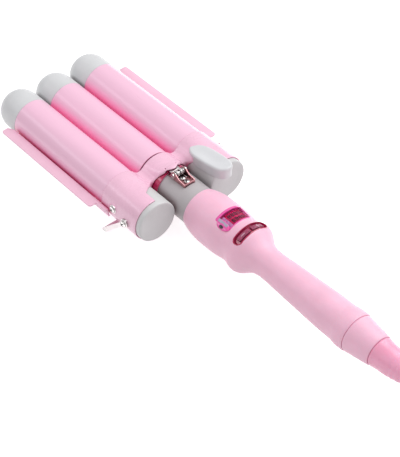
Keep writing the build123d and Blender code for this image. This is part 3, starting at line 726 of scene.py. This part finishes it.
def make_marks():
    """Raised minus and plus on the two buttons."""
    across, along = (0.35, 5.5), (1.6, 1.2)      # a bar's half length along X, half angle in degrees
    for name, bars in (("minus_button", (across,)), ("plus_button", (across, along))):
        mid = middle(name)
        top = reach_of(name)
        angle = math.degrees(math.atan2(mid.y, mid.z - AXIS_Z))
        parts = []
        for half, turn in bars:
            x0, x1 = mid.x - half, mid.x + half
            parts.append(curved_patch(x0, x1, angle - turn, angle + turn, top - 0.3, top + PLATE_HEIGHT))
        piece(name.replace("button", "mark"), joined(name, parts), name, "button_mauve", finish=MARK_PALE)


# ---- thumb lever -----------------------------------------------------------------------------
def inset_ring(ring, amount):
    """A closed ring of plan points moved sideways by an amount."""
    count = len(ring)
    out = []
    for i in range(count):
        tangent = (ring[(i + 1) % count] - ring[i - 1]).normalized()
        out.append(ring[i] + Vector((tangent.y, -tangent.x)) * amount)
    return out


def make_lever():
    """Teardrop pad: dished top, rounded rims, and a skirt that stops short of the tip."""
    lo, hi = span("thumb_lever")
    pad = [
        (35.7, 12.0), (33.3, 6.0), (27.1, 2.2), (16.3, 0.4), (6.3, 0.2), (0.7, 2.8),
        (0.3, 8.4), (3.9, 12.8), (11.3, 14.8), (19.3, 16.0), (27.3, 16.4), (32.9, 15.0),
    ]
    outline = [Vector((lo.x + p.x, lo.y + p.y)) for p in closed_curve(pad, 8)]
    centre = sum(outline, Vector((0, 0))) / len(outline)
    if (inset_ring(outline, 1.0)[0] - centre).length > (outline[0] - centre).length:
        outline.reverse()
    top, thick, edge, under, dish = hi.z, 3.4, 1.5, 0.7, 0.85
    under_steps, edge_steps, dish_steps = 4, 8, 12

    def ring(inset, level):
        return [(p.x, p.y, level) for p in inset_ring(outline, inset)]

    rings = [ring(under, top - thick)]
    for k in range(1, under_steps + 1):
        a = k / under_steps * math.pi / 2
        rings.append(ring(under * (1 - math.sin(a)), top - thick + under * (1 - math.cos(a))))
    for k in range(edge_steps + 1):
        a = k / edge_steps * math.pi / 2
        rings.append(ring(edge * (1 - math.cos(a)), top - edge + edge * math.sin(a)))
    rim = inset_ring(outline, edge)
    for k in range(1, dish_steps):
        t = k / dish_steps
        dip = dish * t * t * (3 - 2 * t)
        rings.append([(*(p * (1 - t) + centre * t), top - dip) for p in rim])
    skirt_end, skirt_inset = lo.x + 28.0, 0.5
    skirt = [Vector((min(p.x, skirt_end), p.y)) for p in inset_ring(outline, skirt_inset)]
    levels = (lo.z + 0.2, top - 6.0, top - thick + 0.3)
    sides = [[(p.x, p.y, level) for p in skirt] for level in levels]
    return joined("lever", [rings_mesh(rings), rings_mesh(sides)])


piece("thumb_pad", make_lever(), "clamp", "lever_grey", "thumb_lever", smooth_angle=50)


# ---- screws ----------------------------------------------------------------------------------
def pan_screw(centre, axis, head_r, head_h, shank_r, shank_len, flange_r=0.0):
    """Domed screw: head with a sunken cross, a washer face if asked for, and its shank."""
    axis = Vector(axis).normalized()
    side = axis.orthogonal().normalized()
    across = axis.cross(side)
    segments, steps = 72, 22
    slot_half, slot_reach, slot_deep = head_r * 0.13, head_r * 0.66, head_h * 0.75
    doming, dome_share = 0.45, 0.93
    bevel, washer_chamfer, washer = 0.97, -0.15, -0.6

    def height(r, a):
        dome_h = head_h * (1 - doming * (r / head_r) ** 2)
        u, v = abs(r * math.cos(a)), abs(r * math.sin(a))
        in_cross = u < slot_half or v < slot_half
        return dome_h - slot_deep if in_cross and r < slot_reach else dome_h

    def at(r, a, h):
        return (Vector(centre) + side * r * math.cos(a) + across * r * math.sin(a) + axis * h) * MM

    turns = [2 * math.pi * k / segments for k in range(segments)]
    radii = [head_r * (i + 0.5) / steps * dome_share for i in range(steps)]
    rings = [[at(r, a, height(r, a)) for a in turns] for r in radii]
    outside = [(head_r * bevel, head_h * 0.46), (head_r, head_h * 0.30), (head_r, 0.0)]
    if flange_r:
        outside += [(flange_r * bevel, 0.0), (flange_r, washer_chamfer), (flange_r, washer)]
    outside += [(shank_r, washer if flange_r else 0.0), (shank_r, -shank_len)]
    rings += [[at(r, a, h) for a in turns] for r, h in outside]
    return rings_mesh([[p / MM for p in ring] for ring in rings])


def side_hardware():
    """Side screws with a washer face, and the stand's two pivot screws, one of each on either side."""
    head_r, shank_r, shank_len = 2.6, 1.45, 5.0
    for label, node, flange_r, head_h in (
        ("side", "side_screws", 3.4, 1.35), ("pivot", "stand_pivot_screws", 0.0, 1.5),
    ):
        lo, hi = span(node)
        x, z = (lo.x + hi.x) / 2, (lo.z + hi.z) / 2
        meshes = []
        for sign, tip in ((1, hi.y), (-1, lo.y)):
            seat = (x, tip - sign * head_h, z)
            meshes.append(pan_screw(seat, (0, sign, 0), head_r, head_h, shank_r, shank_len, flange_r))
        piece(f"{label}_pan_screws", joined(label, meshes), "clamp", "bright_steel", node, smooth_angle=30)


def bracket_hardware():
    """Two pan screws that hold the hinge bracket to the neck."""
    lo, hi = span("bracket_screws")
    seat = hi.z - 1.0
    inward = 1.7
    meshes = [pan_screw((x, 0, seat), (0, 0, 1), 2.0, 1.3, 0.9, 3.4) for x in (lo.x + inward, hi.x - inward)]
    piece("bracket_pan_screws", joined("bracket", meshes), "handle_unit", "bright_steel", "bracket_screws",
          smooth_angle=30)


side_hardware()
bracket_hardware()
make_display()
make_lamp()
make_marks()


# ---- torsion spring --------------------------------------------------------------------------
def wire(name, path, radius):
    """Round wire along a polyline, as a mesh."""
    data = bpy.data.curves.new(name, "CURVE")
    data.dimensions = "3D"
    data.bevel_depth = radius * MM
    data.bevel_resolution = 4
    data.use_fill_caps = True
    spline = data.splines.new("POLY")
    spline.points.add(len(path) - 1)
    for point, p in zip(spline.points, path):
        point.co = (*(Vector(p) * MM), 1)
    obj = bpy.data.objects.new(name, data)
    bpy.context.scene.collection.objects.link(obj)
    graph = bpy.context.evaluated_depsgraph_get()
    mesh = bpy.data.meshes.new_from_object(obj.evaluated_get(graph))
    bpy.data.objects.remove(obj)
    return mesh


def make_spring():
    """Double torsion spring: two coils on the pin, a bridge to the leaf and a leg each side."""
    pin = middle("hinge_pin")
    lo, hi = span("clamp_spring")
    wire_r, coil_r, turns, steps = 0.38, 1.95, 3.0, 96
    near, far, bridge = lo.y + 0.4, hi.y - 0.4, 0.75
    foot, knee = (pin.x - 5.4, pin.z - 2.0), (pin.x - 3.4, pin.z - 2.1)
    path = [(foot[0], near, foot[1]), (knee[0], near, knee[1])]
    for y0, y1 in ((near, -bridge), (bridge, far)):
        for k in range(steps + 1):
            t = k / steps
            a = -math.pi / 2 - t * turns * 2 * math.pi
            path.append((pin.x + coil_r * math.cos(a), y0 + (y1 - y0) * t, pin.z + coil_r * math.sin(a)))
    path += [(knee[0], far, knee[1]), (foot[0], far, foot[1])]
    return wire("spring", path, wire_r)


piece("torsion_spring", make_spring(), "handle_unit", "bright_steel", "clamp_spring", smooth_angle=50)


# ---- collar and cord boot --------------------------------------------------------------------
def make_collar():
    """Tapering collar with a rolled front lip, a spigot into the handle and a bore for the boot."""
    lo, hi = span("rear_collar")
    joint = lo.x + 20.2
    bore, narrow, spigot = 10.9, 9.0, 11.44
    profile = rounded([
        (joint, 11.2, 0), (joint, 13.1, 0), (joint - 0.3, 13.8, 0.4), (joint - 1.4, 13.85, 1.0),
        (joint - 6.6, 13.1, 4.0), (joint - 13.6, 12.25, 5.0), (lo.x + 0.6, 11.4, 0.6), (lo.x, 10.9, 0.3),
        (lo.x, 9.6, 0.2), (lo.x + 5.4, 9.6, 0), (lo.x + 5.4, bore, 0), (joint - 6.0, bore, 0),
        (joint - 6.0, narrow, 0), (hi.x, narrow, 0), (hi.x, spigot, 0.3), (joint, spigot, 0),
    ])
    return lathe(profile, closed=True)


def make_boot():
    """Tapering boot with a retaining flange inside the collar and four grooves near its end."""
    lo, hi = span("swivel_boot")
    grooves, groove_half, groove_depth = [lo.x + k for k in (6.0, 10.0, 14.0, 18.0)], 0.9, 0.55
    shoulder = span("rear_collar")[0].x - 0.4
    skin = curve_through([
        (shoulder - 0.6, 10.9), (shoulder - 5.0, 10.25), (shoulder - 11.5, 9.85), (shoulder - 19.0, 8.9),
        (shoulder - 26.5, 7.3), (lo.x + 0.9, 6.1),
    ], steps=10)
    profile = [(hi.x, 3.6), (hi.x, 10.3), (hi.x - 2.0, 10.3), (hi.x - 2.0, 8.6), (hi.x - 5.3, 8.6),
               (hi.x - 5.3, 9.25), (shoulder, 9.25), (shoulder, 10.4), (shoulder - 0.15, 10.75)]
    for p in skin:
        near_groove = max(1 - abs(p.x - groove) / groove_half for groove in grooves)
        profile.append((p.x, p.y - groove_depth * max(0.0, near_groove)))
    profile += [(lo.x + 0.3, 5.95), (lo.x, 5.4), (lo.x, 3.8), (lo.x + 0.4, 3.6)]
    return lathe(profile, closed=True)


def make_groove_shade_rings():
    """Two soft rings at the collar's ends, filling its joint gaps, in a deeper pink that is painted shade
    for the groove lines. The rear one stays short of the turning boot's shoulder.
    """
    rear = span("rear_collar")[0].x
    thick, soft = 0.9, 0.15
    front_ring = (rear + 19.5, rear + 20.6, 13.5)
    rear_ring = (rear - 0.28, rear + 0.3, 10.45)
    rings = [lathe(ring_profile(start, end, radius - thick, radius, soft), closed=True)
             for start, end, radius in (front_ring, rear_ring)]
    return joined("groove_rings", rings)


piece("collar_shell", make_collar(), "handle_unit", "soft_pink", "rear_collar")
# painted shade: deeper pink rings in the collar's joint gaps
piece("collar_groove_shade_rings", make_groove_shade_rings(), "handle_unit", "soft_pink", finish=GROOVE_SHADE_PINK)
piece("cord_boot", make_boot(), "swivel", "boot_pink", "swivel_boot")


# ---- studio ----------------------------------------------------------------------------------
def camera():
    """Camera placed and turned to match the photo, by heading, dip and roll in degrees."""
    data = bpy.data.cameras.new("camera")
    data.lens = 112.97
    obj = bpy.data.objects.new("camera", data)
    bpy.context.scene.collection.objects.link(obj)
    heading, dip, roll = (math.radians(v) for v in (-40.159, 44.632, -0.694))
    ahead = Vector((math.cos(heading) * math.cos(dip), math.sin(heading) * math.cos(dip), -math.sin(dip)))
    level = Vector((math.sin(heading), -math.cos(heading), 0))
    upright = level.cross(ahead)
    right = level * math.cos(roll) + upright * math.sin(roll)
    up = upright * math.cos(roll) - level * math.sin(roll)
    turn = Matrix((right, up, -ahead)).transposed()
    place = Vector((-540.66, 467.20, 717.71)) * MM
    obj.matrix_world = Matrix.Translation(place) @ turn.to_4x4()
    data.clip_start, data.clip_end = 0.05, 50
    bpy.context.scene.camera = obj


def softbox(name, place, target, size, power, color=(1, 1, 1)):
    """Rectangular light aimed at a target."""
    data = bpy.data.lights.new(name, "AREA")
    data.shape = "RECTANGLE"
    data.size, data.size_y = size
    data.energy = power
    data.color = color
    obj = bpy.data.objects.new(name, data)
    bpy.context.scene.collection.objects.link(obj)
    obj.location = place
    obj.rotation_mode = "QUATERNION"
    obj.rotation_quaternion = (Vector(target) - Vector(place)).to_track_quat("-Z", "Y")


def studio():
    """White surroundings, a glowing paper floor that diffuse rays don't see, and two softboxes."""
    world = bpy.data.worlds.new("studio")
    bpy.context.scene.world = world
    world.use_nodes = True
    sky = world.node_tree.nodes["Background"]
    sky.inputs[0].default_value = (1.0, 0.99, 0.995, 1)
    sky.inputs[1].default_value = 0.62
    mesh = bpy.data.meshes.new("floor")
    reach = 6.0
    corners = [(-reach, -reach, 0), (reach, -reach, 0), (reach, reach, 0), (-reach, reach, 0)]
    mesh.from_pydata(corners, [], [(0, 1, 2, 3)])
    floor = bpy.data.objects.new("floor", mesh)
    bpy.context.scene.collection.objects.link(floor)
    paper = bpy.data.materials.new("floor_paper")
    paper.use_nodes = True
    shader = paper.node_tree.nodes["Principled BSDF"]
    shader.inputs["Base Color"].default_value = (0.95, 0.95, 0.95, 1)
    shader.inputs["Roughness"].default_value = 0.9
    shader.inputs["Emission Color"].default_value = (1, 1, 1, 1)
    shader.inputs["Emission Strength"].default_value = 0.62
    mesh.materials.append(paper)
    floor.visible_diffuse = False
    softbox("key", (-0.25, -1.0, 1.25), (0, 0, 0), (1.4, 1.4), 17)
    softbox("strip", (0.95, 1.05, 1.0), (0.05, 0, 0), (1.6, 0.30), 3.0, (0.96, 0.92, 1.0))


camera()
studio()
bpy.context.scene.view_settings.view_transform = "Standard"
